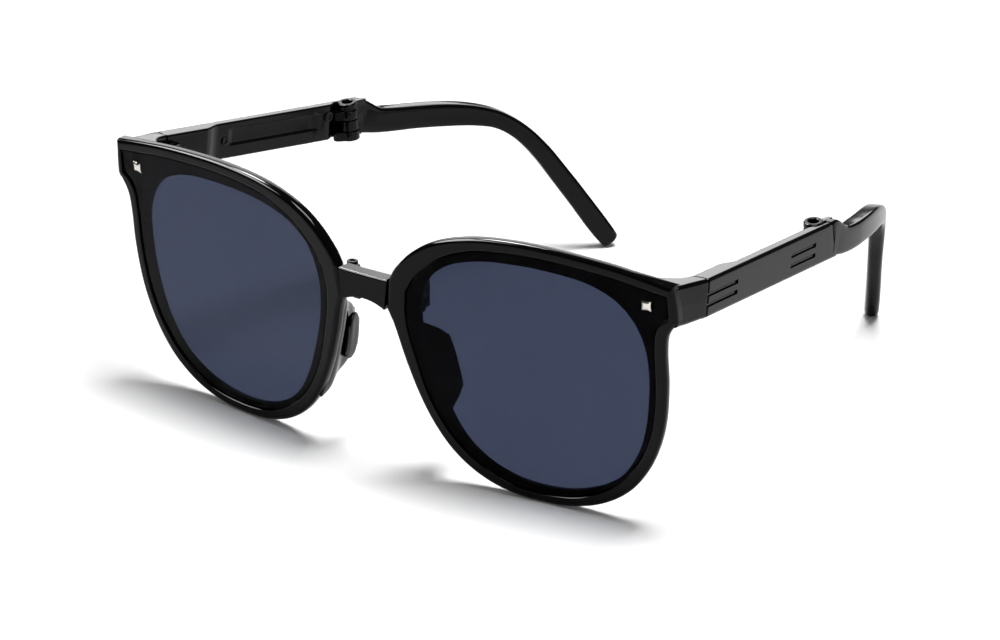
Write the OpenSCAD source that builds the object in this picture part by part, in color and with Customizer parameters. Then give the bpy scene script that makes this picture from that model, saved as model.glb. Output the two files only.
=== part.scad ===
// Folding sunglasses with oversize rounded rims, in millimetres
// Z is up, the wearer looks towards -Y, X = 0 is the plane of symmetry
// The object stands open on z = 0: both rims and both ear tips touch it

/* [Front] */
// Width of the front over its outer corners
front_w = 146; // [138:1:154]
// Height of a rim
rim_h = 59.2; // [52:0.5:66]
// Depth of a rim, front to back
rim_t = 2.8; // [2.6:0.1:4]
// Bevel on the front edge of a rim
rim_bevel = 0.7; // [0.3:0.1:1]
// Round on the back edge of a rim
rim_back_round = 1; // [0.4:0.1:1]
// Backward sweep of each side of the front, degrees
wrap = 7.4; // [4:0.2:10]
// Forward lean of the top of the front, degrees
lean = 6.3; // [3:0.1:8]

/* [Lens panels] */
// Thickness of a lens panel
lens_t = 1.4; // [1:0.1:1.8]
// How far a lens panel sits below the front of its rim
lens_sink = 0.15; // [0.05:0.05:0.4]
// Open groove round a lens panel
lens_groove = 0.25; // [0.15:0.05:0.5]
// Side of a square rivet head
rivet_head = 2.4; // [1.8:0.1:3]
// How far a rivet head stands out of the lens panel
rivet_rise = 0.5; // [0.3:0.1:0.8]
// Radius of a rivet shank
rivet_r = 0.7; // [0.5:0.05:0.9]

/* [Bridge] */
// Height of the bridge at its ends
bridge_h = 7.3; // [6.5:0.1:8]
// Depth of the bridge bar
bridge_t = 3.8; // [3:0.1:4.6]
// Rise of the arch under the bridge
bridge_arch = 1.6; // [0.5:0.1:2]
// Gap between the bridge and each rim
bridge_gap = 0.3; // [0.2:0.05:0.5]

/* [Hinges] */
// Outer radius of the bridge hinge barrels
barrel_r = 1.9; // [1.6:0.1:2.2]
// Height of one ring of a bridge hinge
ring_h = 1; // [0.8:0.05:1.2]
// Outer radius of the front hinge barrels
front_barrel_r = 1.9; // [1.6:0.1:2.2]
// Outer radius of the mid hinge barrels
mid_barrel_r = 2.2; // [1.9:0.1:2.4]
// Forward lean of the mid hinge pin, degrees
mid_lean = 6; // [3:0.5:8]
// Radius of every hinge pin
pin_r = 0.6; // [0.5:0.05:0.8]
// Running clearance round a pin
pin_clear = 0.05; // [0.02:0.01:0.1]
// Gap between the rings of a hinge
ring_gap = 0.25; // [0.2:0.05:0.35]

/* [Temples] */
// Thickness of a temple at its front end
temple_t = 4.1; // [3.6:0.1:4.8]
// Height of the front half of a temple
temple_h = 8.3; // [7.6:0.1:9]
// Length of the front half of a temple, seam to seam
half_len = 59; // [54:0.5:63]
// Wall of the front half behind its thick root
temple_wall = 2.6; // [2:0.1:3.2]
// Toe-in of a temple, degrees
toe_in = 7.7; // [5:0.1:10]
// Downward slope of a temple, degrees
slope = 6.5; // [4:0.5:8]
// Length of the thick root of the front half
root_len = 13; // [9:0.5:18]
// Backward lean of the seam at the mid hinge, over its height
seam_lean = 3; // [1:0.25:3.5]
// Gap at the seams of a temple
seam_gap = 0.3; // [0.2:0.05:0.5]
// Width of an engraved groove
groove_w = 0.55; // [0.3:0.05:0.8]
// Depth of an engraved groove
groove_d = 0.4; // [0.2:0.05:0.6]

/* [Ear hooks] */
// Thickness of the rear arm, side to side
arm_t = 3.9; // [3:0.1:4.4]
// Height of the rear arm before its bend
arm_h = 5.5; // [4.8:0.1:6.2]
// Thickness of the ear hook, front to back
hook_h = 3.4; // [2.8:0.1:4.2]

/* [Nose pads] */
// Depth of the pad arms behind the rims
pad_reach = 9; // [7:0.5:11]
// Thickness of a pad arm
pad_arm_t = 2; // [1.6:0.1:2.6]
// Thickness of a soft nose pad
pad_t = 1.5; // [1:0.1:2]

/* [Hidden] */
$fn = 48;
// Shift that puts the middle of the whole depth at y = 0
y_mid = 65.187;
// The front plane crosses x = 0 here, before the shift
y_front = -1.5;
su = front_w / 146;
sv = rim_h / 59.2;
eps = 0.01;
hole_r = pin_r + pin_clear;

// Curves through points
function cr(a, b, c, d, t) =
  0.5 * (2 * b + (c - a) * t + (2 * a - 5 * b + 4 * c - d) * t * t + (3 * b - a - 3 * c + d) * t * t * t);
// An open curve through points, end point left out
function run(p, n) = let (m = len(p) - 1)
  [for (i = [0:n - 1]) let (s = i * m / n, k = floor(s), t = s - k)
    cr(k == 0 ? 2 * p[0] - p[1] : p[k - 1], p[k], p[k + 1], k + 2 > m ? 2 * p[m] - p[m - 1] : p[k + 2], t)];
function scaled(p) = [for (q = p) [q[0] * su, q[1] * sv]];
// A closed line moved inwards by d, for a line that runs clockwise
function inset(p, d) = let (n = len(p))
  [for (i = [0:n - 1]) let (t = p[(i + 2) % n] - p[(i + n - 2) % n], l = norm(t)) p[i] + d * [t[1], -t[0]] / l];

// Rim outline from the bridge's top corner over the brow, down the outer side and back under the cheek
n_top = 24;
n_end = 6;
n_low = 60;
n_nose = 4;
rim_top = [[6.2, 44.7], [8.0, 47.8], [12.2, 52.2], [18, 55.7], [26, 58.1], [35, 59.1], [45, 59.2], [57, 58.5], [66, 57.4], [73, 56.3]];
rim_end = [[73, 56.3], [73.6, 52], [73.8, 48.4]];
rim_low = [[73.8, 48.4], [72.2, 46.4], [71.1, 44], [70.7, 40], [70.7, 33], [69.9, 25], [68.2, 18.5], [65.3, 12.4], [61, 7], [55, 2.9],
  [48, 0.6], [40, 0], [32, 0.7], [25.2, 3.2], [19.5, 7.4], [15, 13.2], [11.6, 20], [8.9, 27.5], [7, 34], [5.4, 38]];
rim_nose = [[5.4, 38], [6.2, 44.7]];
rim_line = concat(run(scaled(rim_top), n_top), run(scaled(rim_end), n_end), run(scaled(rim_low), n_low), run(scaled(rim_nose), n_nose));

// Lens panel outline
lens_top = [[10.3, 43], [13.3, 47.6], [18.6, 52.2], [26, 55.4], [35, 56.7], [45, 56.9], [57, 56.2], [65, 55.2], [71.8, 54.2]];
lens_end = [[71.8, 54.2], [72, 49]];
lens_low = [[72, 49], [70, 47.4], [68.8, 45], [68.4, 40], [68.4, 33], [67.6, 25], [65.9, 19], [63.2, 13.7], [59.4, 9.1], [54, 5.2],
  [47.6, 2.8], [40, 2.1], [33, 2.8], [27, 5.2], [21.4, 9.3], [17.2, 14.4], [13.9, 20.8], [11.7, 28], [10.2, 34], [9.8, 38.5]];
lens_nose = [[9.8, 38.5], [10.3, 43]];
lens_line = concat(run(scaled(lens_top), n_top), run(scaled(lens_end), n_end), run(scaled(lens_low), n_low), run(scaled(lens_nose), n_nose));

// Window in the back flange of a rim, where the tint shows through
win_top = [[14.3, 44.2], [16.6, 47.7], [21.2, 50.9], [28, 52.9], [36, 53.7], [45, 53.7], [52.6, 52.9], [58.2, 50.9], [61.6, 48.4]];
win_end = [[61.6, 48.4], [63.4, 46.2]];
win_low = [[63.4, 46.2], [65, 43], [66, 39], [66.3, 34], [65.9, 27.5], [64.9, 21.5], [63, 16], [59.6, 10.6], [55.4, 7.2], [50, 4.8],
  [44, 3.6], [38, 3.5], [32.6, 4.4], [27.2, 6.7], [22.6, 10.5], [19, 16.2], [16, 23.5], [14, 30], [13.1, 36], [13.2, 40.2]];
win_nose = [[13.2, 40.2], [14.3, 44.2]];
win_line = concat(run(scaled(win_top), n_top), run(scaled(win_end), n_end), run(scaled(win_low), n_low), run(scaled(win_nose), n_nose));

seat = lens_sink + lens_t;

// One rim stands in its own plane: x across, y into the depth, z up
module in_front() {
  translate([0, y_front - y_mid, 0]) rotate([0, 0, wrap]) rotate([lean, 0, 0]) children();
}
// Point of that plane in the frame of the object
function front_pt(u, d, v) = let (y = d * cos(lean) - v * sin(lean))
  [u * cos(wrap) - y * sin(wrap), u * sin(wrap) + y * cos(wrap) + y_front - y_mid, d * sin(lean) + v * cos(lean)];

// A closed surface through rings of points, joined end to end when ringed
module skin(rings, ringed = false) {
  m = len(rings);
  n = len(rings[0]);
  pts = [for (r = rings) for (q = r) q];
  sides = [for (j = [0:m - (ringed ? 1 : 2)]) for (i = [0:n - 1])
    let (k = (j + 1) % m, h = (i + 1) % n)
    for (f = [[j * n + i, k * n + i, k * n + h], [j * n + i, k * n + h, j * n + h]]) f];
  caps = ringed ? [] : [for (i = [1:n - 2]) for (f = [[0, i, i + 1], [m * n - n, m * n - n + i + 1, m * n - n + i]]) f];
  polyhedron(points = pts, faces = concat(sides, caps), convexity = 10);
}
function at_depth(p, y) = [for (q = p) [q[0], y, q[1]]];

// Hinge axes
bridge_axis = [9.6 * su, 3.6 - y_mid];
bridge_z = 36.4 * sv;
rings_n = 5;
front_axis = [front_w / 2 - 4.7, 15 - y_mid];
seam_top = [front_w / 2 + 0.35, 15 - y_mid, 54.1 * sv];

// Frame of the front half of a temple: outer face at x = 0, length along y, top at z = 0
module in_temple() {
  translate(seam_top) rotate([0, 0, toe_in]) rotate([-slope, 0, 0]) children();
}
function temple_pt(x, y, z) = let (b = y * cos(slope) + z * sin(slope))
  [seam_top[0] + x * cos(toe_in) - b * sin(toe_in), seam_top[1] + x * sin(toe_in) + b * cos(toe_in), seam_top[2] - y * sin(slope) + z * cos(slope)];
// The mid hinge pin, in the frame of the temple
mid_y = half_len - 3;
mid_x = -temple_wall - 0.7;
mid_at = temple_pt(mid_x, mid_y, -temple_h / 2);
module in_mid() {
  translate(mid_at) rotate([0, 0, toe_in]) rotate([mid_lean, 0, 0]) children();
}
// Outer skin of the front half that laps over the rear half, seen from the pin
lap_x = 1.6;
tongue_z = -1.9;
tongue_h = 2.4;
cap_z = 3.1;
cap_h = 1.5;
lug_low = -4.3;

// Ring of the rim: bevelled front, seat for the lens panel, flange round the window
module rim_ring() {
  skin([
    at_depth(inset(rim_line, rim_bevel), 0),
    at_depth(rim_line, rim_bevel),
    at_depth(rim_line, rim_t - rim_back_round),
    at_depth(inset(rim_line, rim_back_round), rim_t),
    at_depth(inset(win_line, -0.5), rim_t),
    at_depth(win_line, rim_t - 0.6),
    at_depth(win_line, seat),
    at_depth(lens_line, seat),
    at_depth(lens_line, 0)
  ], true);
}

// Moulded corner that turns from the front into the temple
module end_piece() {
  e = front_w / 2;
  y0 = 3.4 - y_mid;
  y1 = seam_top[1];
  zt = seam_top[2];
  difference() {
    intersection() {
      translate([0, 0, zt - 12]) linear_extrude(16) polygon([
        [e - 8, y0 + 1.6], [e - 0.9, y0 - 0.2], [e + 0.15, y0 + 0.9], [e + 0.35, y1], [e + 0.35, y1 + 2],
        [e + 0.35 - temple_t, y1 + 2], [e + 0.35 - temple_t, y1 - 1], [e - 4.4, y0 + 7], [e - 6.2, y0 + 4.8], [e - 8, y0 + 3.6]]);
      translate([e - 9, 0, 0]) rotate([90, 0, 90]) linear_extrude(12) polygon([
        [y0 - 1, zt - 6.8], [y0 - 1, zt + 1.9], [y0 + 1, zt + 1.55], [y1, zt + 0.04], [y1 + 2, zt],
        [y1 + 2, zt - temple_h], [y1 - 1, zt - temple_h + 0.08], [y0 + 3, zt - 7.5]]);
    }
    in_temple() translate([-9, -seam_gap, -15]) cube([12, 9, 18]);
    translate([front_axis[0], front_axis[1], knuckle_z(1) - ring_gap]) cylinder(r = front_barrel_r + ring_gap, h = knuckle_h + 2 * ring_gap);
  }
}
// Three stacked knuckles fill the inner height of the seam, less a margin
knuckle_in = 0.8;
knuckle_h = (temple_h - 2 * knuckle_in - 2 * ring_gap) / 3;
function knuckle_z(k) = seam_top[2] - temple_h + knuckle_in + k * (knuckle_h + ring_gap);
module at_front_axis(z) {
  translate([front_axis[0], front_axis[1], z]) children();
}
module front_knuckles() {
  for (k = [0, 2]) at_front_axis(knuckle_z(k)) difference() {
    union() {
      cylinder(r = front_barrel_r, h = knuckle_h);
      translate([-front_barrel_r, -4.6, 0]) cube([front_barrel_r + 1.3, 4, knuckle_h]);
    }
    translate([0, 0, -1]) cylinder(r = hole_r, h = knuckle_h + 2);
  }
}

// Rings of a bridge hinge that belong to the rim, with the lug that carries them
module rim_bridge_rings() {
  for (k = [1, 3]) translate([bridge_axis[0], bridge_axis[1], bridge_z + k * (ring_h + ring_gap)]) difference() {
    union() {
      cylinder(r = barrel_r, h = ring_h);
      rotate([0, 0, -60]) translate([0, -1.2, 0]) cube([6.2, 2.4, ring_h]);
    }
    translate([0, 0, -1]) cylinder(r = hole_r, h = ring_h + 2);
  }
}

// Blade behind the rim that carries the nose pad
function blade(c, half, w, tilt) = [for (i = [0:15]) let (a = 22.5 * i,
    p = half * sign(cos(a)) * pow(abs(cos(a)), 0.8), q = w * sin(a))
    [c[0] + p * sin(tilt) + q * cos(tilt), c[1], c[2] + p * cos(tilt) - q * sin(tilt)]];
module pad_arm() {
  w = pad_arm_t / 2;
  b = rim_t - 1;
  skin([
    blade([11.8 * su, b, 23.8 * sv], 12.5, w * 0.9, -20),
    blade([12.2 * su, b + 2.2, 24.2 * sv], 11.2, w, -19),
    blade([13.4 * su, b + pad_reach * 0.5, 24.6 * sv], 8.8, w, -16),
    blade([14.4 * su, b + pad_reach * 0.85, 24 * sv], 6.8, w * 0.95, -13),
    blade([14.9 * su, b + pad_reach, 23.6 * sv], 5.2, w * 0.6, -12)
  ]);
}

module rim() {
  color("#1c1b1e") {
    difference() {
      union() {
        in_front() rim_ring();
        end_piece();
        in_front() pad_arm();
        rim_bridge_rings();
        front_knuckles();
      }
      in_front() rivet_hole(rim_t - 0.8, 0.05);
    }
  }
}

rivet_u = front_w / 2 - 5.8;
rivet_v = 50.8 * sv;
module rivet_hole(d, gap) {
  translate([rivet_u, d, rivet_v]) rotate([90, 0, 0]) cylinder(r = rivet_r + gap, h = d + 1);
}

// Flat tinted panel, held in the seat of the rim
module lens() {
  color("#3d4358") in_front() difference() {
    translate([0, seat, 0]) rotate([90, 0, 0]) linear_extrude(lens_t) polygon(inset(lens_line, lens_groove));
    rivet_hole(rim_t, 0.05);
  }
}

// Square head with four hollow sides on a round shank
module rivet() {
  s = rivet_head / 2;
  b = 0.13 * rivet_head;
  edge = [for (k = [0:3]) for (i = [0:5]) let (t = i / 3 - 1, a = 90 * k)
    let (x = s * t, y = s - b * (1 - t * t)) [x * cos(a) + y * sin(a), -x * sin(a) + y * cos(a)]];
  color("#d8d2c4") in_front() {
    intersection() {
      translate([rivet_u, lens_sink, rivet_v]) rotate([90, 0, 0]) linear_extrude(rivet_rise + 0.5) polygon(edge);
      translate([rivet_u, lens_sink + 4.2 - rivet_rise, rivet_v]) sphere(r = 4.2);
    }
    translate([rivet_u, rim_t - 0.8 - 0.1, rivet_v]) rotate([90, 0, 0]) cylinder(r = rivet_r, h = rim_t - 0.9 - lens_sink + 0.2);
  }
}

// Soft pad on the nose side of its arm
module nose_pad() {
  w = pad_t / 2;
  o = pad_arm_t / 2 + w + 0.02;
  b = rim_t - 1;
  color("#2b2a2e") in_front() skin([
    blade([13.3 * su - o, b + pad_reach * 0.45, 24 * sv], 5, w * 0.5, -16),
    blade([13.6 * su - o, b + pad_reach * 0.55, 23.8 * sv], 6.8, w, -15),
    blade([14.5 * su - o, b + pad_reach * 0.85, 23.4 * sv], 7.2, w, -13),
    blade([15 * su - o, b + pad_reach * 1.05, 23.2 * sv], 6.2, w * 0.9, -12),
    blade([15.3 * su - o, b + pad_reach * 1.15, 23 * sv], 4.4, w * 0.5, -12)
  ]);
}

module hinge_screw() {
  color("#8f8f94") at_front_axis(knuckle_z(0)) cylinder(r = pin_r, h = 3 * knuckle_h + 2 * ring_gap);
}
module bridge_pin() {
  color("#8f8f94") translate([bridge_axis[0], bridge_axis[1], bridge_z])
    cylinder(r = pin_r, h = rings_n * ring_h + (rings_n - 1) * ring_gap);
}

// Bar between the rims with an arched underside, and two legs back to the hinge barrels
module bridge() {
  top = front_pt(6.2, 0, 44.7 * sv);
  x1 = top[0] - 0.1;
  yf = -5.4 - y_mid;
  zt = 44.4 * sv;
  zb = zt - bridge_h;
  arch = [for (i = [0:12]) let (t = i / 6 - 1) [t * x1, zb + bridge_arch * (1 - t * t)]];
  color("#232126") {
    difference() {
      intersection() {
        translate([0, yf + bridge_t, 0]) rotate([90, 0, 0]) linear_extrude(bridge_t) polygon(concat(
          [[x1 + 1, zt], [-x1 - 1, zt]], [for (q = arch) [q[0] * 1.2, q[1]]]));
        translate([-10, 0, 0]) rotate([90, 0, 90]) linear_extrude(20) polygon([
          [yf - 0.2, zt + 1], [yf + bridge_t + 1, zt + 1], [yf + bridge_t + 1, zb - 1], [yf + 0.75, zb - 1]]);
      }
      for (s = [0, 1]) mirror([s, 0, 0]) in_front() translate([0, rim_t + 2, 0]) rotate([90, 0, 0])
        linear_extrude(rim_t + 6) polygon(inset(rim_line, -bridge_gap));
    }
    for (s = [0, 1]) mirror([s, 0, 0]) bridge_leg(yf);
  }
}
module bridge_leg(yf) {
  for (k = [0, 2, 4]) translate([bridge_axis[0], bridge_axis[1], bridge_z + k * (ring_h + ring_gap)]) difference() {
    union() {
      cylinder(r = barrel_r, h = ring_h);
      translate([-barrel_r - 2, -1.5, 0]) cube([barrel_r + 2, 3, ring_h]);
    }
    translate([0, 0, -1]) cylinder(r = hole_r, h = ring_h + 2);
  }
  z0 = bridge_z;
  z1 = bridge_z + rings_n * ring_h + (rings_n - 1) * ring_gap;
  translate([0, 0, z0]) linear_extrude(z1 - z0) polygon([
    [2.4, yf + bridge_t - 1], [4.6, yf + bridge_t - 1], [bridge_axis[0] - barrel_r - 0.4, bridge_axis[1] - 1.5],
    [bridge_axis[0] - barrel_r - 0.4, bridge_axis[1] + 1.5], [bridge_axis[0] - barrel_r - 2, bridge_axis[1] + 1.5],
    [bridge_axis[0] - barrel_r - 2.6, bridge_axis[1] - 0.4]]);
}

// Engraved line with round ends, from a to b on the outer face
module line_cut(a, b) {
  l = norm(b - a);
  translate([0, a[0], a[1]]) rotate([atan2(b[1] - a[1], b[0] - a[0]), 0, 0]) {
    translate([-groove_d, 0, -groove_w / 2]) cube([groove_d + 1, l, groove_w]);
    for (y = [0, l]) translate([-groove_d, y, 0]) rotate([0, 90, 0]) cylinder(r = groove_w / 2, h = groove_d + 1);
  }
}

// Section of a temple with its four long edges broken
function bar(w, h, c) = [[0, -c], [-c, 0], [c - w, 0], [-w, -c], [-w, c - h], [c - w, -h], [-c, -h], [0, c - h]];
module bar_along(y0, y1, w) {
  in_temple() translate([0, y1, 0]) rotate([90, 0, 0]) linear_extrude(y1 - y0) polygon(bar(w, temple_h, 0.4));
}

// Front half of a temple
module temple_front() {
  h = temple_h;
  color("#2e2d30") {
    difference() {
      union() {
        difference() {
          union() {
            bar_along(0, root_len, temple_t);
            bar_along(root_len - 1, half_len + 3, temple_wall);
            in_temple() translate([0, 0, 0.4 - h]) linear_extrude(h - 0.8) polygon([
              [-temple_wall + 0.5, root_len - 0.5], [-temple_t, root_len - 0.5], [-temple_t + 0.7, root_len + 1.2],
              [-temple_wall - 0.3, root_len + 2.4], [-temple_wall + 0.5, root_len + 5]]);
          }
          // rear end, leaning back
          in_temple() translate([-9, 0, 0]) rotate([90, 0, 90]) linear_extrude(12) polygon([
            [half_len - seam_lean / 2 - seam_lean / h, 1], [half_len + 9, 1], [half_len + 9, -h - 1], [half_len + seam_lean / 2 + seam_lean / h, -h - 1]]);
          // shallow pocket along the inner side
          in_temple() hull() for (y = [root_len + 7.5, half_len - 12.5]) translate([-temple_wall - 1, y, -h * 0.42])
            rotate([0, 90, 0]) cylinder(r = h * 0.2, h = 1.6, $fn = 32);
          mid_room();
          // room for the knuckles of the rim
          for (k = [0, 2]) at_front_axis(knuckle_z(k) - ring_gap - (k == 0 ? 9 : 0))
            cylinder(r = front_barrel_r + ring_gap, h = knuckle_h + 2 * ring_gap + 9);
        }
        mid_lugs();
        temple_knuckle();
        in_temple() translate([-temple_wall - 0.3, root_len + 5.2, -h * 0.5]) rotate([0, 90, 0]) cylinder(r = 0.9, h = 0.8);
        in_temple() translate([-temple_wall - 0.3, half_len - 8.8, -h * 0.32]) rotate([0, 90, 0]) cylinder(r = 1.2, h = 0.8);
      }
      in_temple() for (z = [-3.3, -5.5]) {
        line_cut([-1, z], [13.4, z]);
        line_cut([half_len - 20.8, z], [half_len - 8.9, z]);
      }
      at_front_axis(0) cylinder(r = hole_r, h = 80);
      in_mid() translate([0, 0, -20]) cylinder(r = hole_r, h = 40);
    }
  }
}
// Room that the moving half needs, behind and between the lugs and under the cap
module mid_room() {
  g = ring_gap;
  in_mid() {
    translate([-6, mid_barrel_r + 0.1, -9]) cube([6 + lap_x + g, 12, 18]);
    for (z = [[tongue_z - g, tongue_h + 2 * g], [cap_z - g, 6]]) translate([0, 0, z[0]]) {
      cylinder(r = mid_barrel_r + g, h = z[1]);
      translate([-6, 0, 0]) cube([6 + lap_x + g, 12, z[1]]);
    }
    translate([-6, -3.7, tongue_z - g]) cube([6 + lap_x, 6, tongue_h + 2 * g]);
  }
}
module mid_lugs() {
  r = mid_barrel_r;
  in_mid() for (z = [[lug_low, tongue_z - ring_gap], [tongue_z + tongue_h + ring_gap, cap_z - ring_gap]])
    translate([0, 0, z[0]]) linear_extrude(z[1] - z[0]) {
      circle(r = r);
      polygon([[lap_x, 0], [lap_x, -5.5], [0.7, -5], [-0.3 * r, -0.95 * r], [0, 0]]);
    }
}
module temple_knuckle() {
  at_front_axis(knuckle_z(1)) difference() {
    union() {
      cylinder(r = front_barrel_r, h = knuckle_h);
      translate([0, 0.5, 0]) cube([1.7, 4.5, knuckle_h]);
    }
    translate([0, 0, -1]) cylinder(r = hole_r, h = knuckle_h + 2);
  }
}

module mid_pin() {
  color("#8f8f94") in_mid() translate([0, 0, lug_low + 0.4]) cylinder(r = pin_r, h = cap_z + cap_h - lug_low - 0.8);
}

// Rear arm: y before the shift, middle height, depth across its line
arm = [[70, 43.7, 8.2], [73.2, 43.4, 8.1], [75.6, 42.5, 7.2], [78.8, 41.2, 6], [83, 40.4, arm_h + 0.2], [90, 39.5, arm_h], [98, 38.3, arm_h - 0.1],
  [105, 36.8, (2 * arm_h + hook_h) / 3], [110.5, 34.7, (arm_h + 2 * hook_h) / 3], [115.6, 30.8, hook_h + 0.3],
  [120, 25.4, hook_h + 0.1], [123.8, 19.4, hook_h], [127.8, 12.8, hook_h], [131.6, 6.2, hook_h + 0.1], [134.3, 1.7, hook_h - 0.2]];
rear_t = 3;
// The arm hangs on the mid hinge pin: its start moves with the pin, and its heights stretch between pin and tip
pin_y = 69.2;
tip_z = 1.7;
arm_back = mid_at[1] + y_mid - pin_y;
arm_up = (mid_at[2] - tip_z) / 41.94;
function arm_pt(q) = let (t = q[0] - pin_y - 2.8)
  [mid_at[0] + 1.51 - 0.135 * t - 0.00477 * t * t, q[0] + arm_back - y_mid, tip_z + (q[1] - tip_z) * arm_up];
function plan_a(y) = atan(0.135 + 0.00954 * (y - pin_y - 2.8));
function wide(y) = (rear_t + (arm_t - rear_t) * min(1, max(0, (y - pin_y - 5.8) / 12))) / 2;
module arm_sweep() {
  n = 40;
  sec = concat(run(arm, n), [arm[len(arm) - 1]]);
  c = [for (q = sec) arm_pt(q)];
  skin([for (i = [0:n]) let (
    a = c[max(i - 1, 0)], b = c[min(i + 1, n)], d = (b - a) / norm(b - a),
    s = [cos(plan_a(sec[i][0])), sin(plan_a(sec[i][0])), 0],
    u = cross(d, s), w = wide(sec[i][0]) * (i == n ? 0.8 : 1))
    [for (k = [0:15]) let (g = 22.5 * k + 11.25, x = sign(cos(g)) * pow(abs(cos(g)), 0.5), z = sign(sin(g)) * pow(abs(sin(g)), 0.5))
      c[i] + s * w * x + u * sec[i][2] / 2 * z]]);
  translate(c[n]) sphere(r = 1.6);
}
module temple_rear() {
  h = temple_h;
  r = mid_barrel_r;
  color("#3a393c") {
    difference() {
      union() {
        difference() {
          arm_sweep();
          // seam behind the lapping skin of the front half
          in_temple() translate([mid_x + lap_x, 0, 0]) rotate([90, 0, 90]) linear_extrude(9) polygon([
            [half_len - 20, 3], [half_len - seam_lean / 2 - 3 * seam_lean / h + seam_gap, 3],
            [half_len + seam_lean / 2 + 3 * seam_lean / h + seam_gap, -h - 3], [half_len - 20, -h - 3]]);
          in_mid() translate([-9, -20, -12]) cube([20, 20 + r + 0.1 + seam_gap, 24]);
        }
        in_mid() {
          translate([0, 0, tongue_z]) linear_extrude(tongue_h) {
            circle(r = r - 0.05);
            polygon([[-0.9 * r, 0.4], [lap_x, 0], [lap_x, r + 2], [0.4, r + 2], [0.4, r + 0.6]]);
          }
          translate([0, 0, cap_z]) linear_extrude(cap_h) circle(r = r - 0.05);
        }
        intersection() {
          in_mid() translate([0, 0, cap_z]) linear_extrude(cap_h) polygon([[-0.1, 0], [lap_x, 0], [lap_x, r + 3], [0.4, r + 3]]);
          in_temple() translate([-9, 0, -h]) cube([18, half_len + 9, h + 0.3]);
        }
      }
      in_mid() translate([0, 0, -20]) cylinder(r = hole_r, h = 40);
    }
  }
}

module other_side() {
  mirror([1, 0, 0]) children();
}

bridge();
bridge_pin();  // left_bridge_pin
other_side() bridge_pin();  // right_bridge_pin
rim();  // left_rim
other_side() rim();  // right_rim
lens();  // left_lens
other_side() lens();  // right_lens
rivet();  // left_rivet
other_side() rivet();  // right_rivet
nose_pad();  // left_nose_pad
other_side() nose_pad();  // right_nose_pad
hinge_screw();  // left_hinge_screw
other_side() hinge_screw();  // right_hinge_screw
temple_front();  // left_temple_front
other_side() temple_front();  // right_temple_front
mid_pin();  // left_mid_pin
other_side() mid_pin();  // right_mid_pin
temple_rear();  // left_temple_rear
other_side() temple_rear();  // right_temple_rear
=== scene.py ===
# Folding sunglasses: finished shapes, materials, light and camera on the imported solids
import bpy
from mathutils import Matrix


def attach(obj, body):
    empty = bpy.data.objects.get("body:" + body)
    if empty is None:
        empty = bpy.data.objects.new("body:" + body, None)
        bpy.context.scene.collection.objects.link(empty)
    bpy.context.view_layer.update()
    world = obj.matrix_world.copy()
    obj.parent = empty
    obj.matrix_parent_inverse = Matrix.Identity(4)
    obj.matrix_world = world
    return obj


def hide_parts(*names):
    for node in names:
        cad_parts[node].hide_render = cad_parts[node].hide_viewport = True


bl_info = {
    "name": "Folding sunglasses",
    "version": (1, 0, 0),
    "blender": (4, 5, 0),
    "location": "View3D > Sidebar > Sunglasses",
    "description": "Builds the rims, lens panels, bridge, temples and hinges of folding sunglasses",
    "category": "Object",
}

from math import atan, cos, pi, radians, sin, tan
from types import SimpleNamespace

import bmesh
import bpy
from mathutils import Euler, Matrix, Vector

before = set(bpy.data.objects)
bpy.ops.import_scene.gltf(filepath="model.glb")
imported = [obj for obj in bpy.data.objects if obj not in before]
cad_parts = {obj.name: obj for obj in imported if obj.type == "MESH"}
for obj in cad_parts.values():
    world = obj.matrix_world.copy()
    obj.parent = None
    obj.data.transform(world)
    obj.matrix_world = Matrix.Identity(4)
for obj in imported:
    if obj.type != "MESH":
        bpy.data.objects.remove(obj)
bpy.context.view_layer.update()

# Lengths below are in millimetres, and every finished mesh is scaled to metres once
MM = 0.001

# Depths of the middle of the part and of the front, then angles: wrap, lean, toe-in, slope and mid pin
Y_MID = 65.187
Y_FRONT = -1.5
WRAP = radians(7.4)
LEAN = radians(6.3)
TOE_IN = radians(7.7)
SLOPE = radians(6.5)
MID_LEAN = radians(6)

# Temple: length to the mid hinge, height, thickness at the root and behind it, skin over the mid hinge
HALF_LEN = 59.0
TEMPLE_H = 8.3
TEMPLE_T = 4.1
TEMPLE_WALL = 2.6
SKIN = 1.45
SEAM_TOP = Vector((73.35, 15 - Y_MID, 54.1))

# Hinges: axes, lowest ring, heights, gaps and holes
BRIDGE_AXIS = (9.6, 3.6 - Y_MID)
BRIDGE_Z = 36.4
BRIDGE_STEP = 1.25
BRIDGE_RING = 1.0
FRONT_AXIS = (68.3, 15 - Y_MID)
KNUCKLE_H = (TEMPLE_H - 1.6 - 0.5) / 3
KNUCKLE_Z = SEAM_TOP.z - TEMPLE_H + 0.8
KNUCKLE_CUT = 1.1
RING_GAP = 0.25
RING_HOLE = 0.62
MID_HOLE = 0.63
MID_X = -TEMPLE_WALL - 0.7
MID_Y = HALF_LEN - 3

# Rims: rounds of the seat and flange edges, share of the back round across, reach of the corner in stations
SEAT_ROUND = 0.27
FLANGE_ROUND = 0.6
BACK_OVAL = 0.5
CORNER_REACH = 14

# Rivets: place in the plane of the rim, half width, hollow of each side; depth where the fins start
RIVET_AT = (66.95, 51.25)
RIVET_HALF = 1.15
RIVET_HOLLOW = 0.17
FIN_START = 1.8

# Bridge bar: front, depth, top, height, rise of its arch, gap to each rim
BAR_NEAR = -5.4
BAR_DEPTH = 3.8
BAR_TOP = 44.4
BAR_HEIGHT = 7.3
BAR_ARCH = 1.6
BAR_GAP = 0.3

# Pocket of the temple, down from the top: start, end; its soft sides as shares of the depth and steps down
POCKET_TOP = 1.5
POCKET_END = 5.5
POCKET_SIDE = ((0.0, 0.0), (0.15, 0.12), (0.85, 0.35), (1.0, 0.5))

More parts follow.
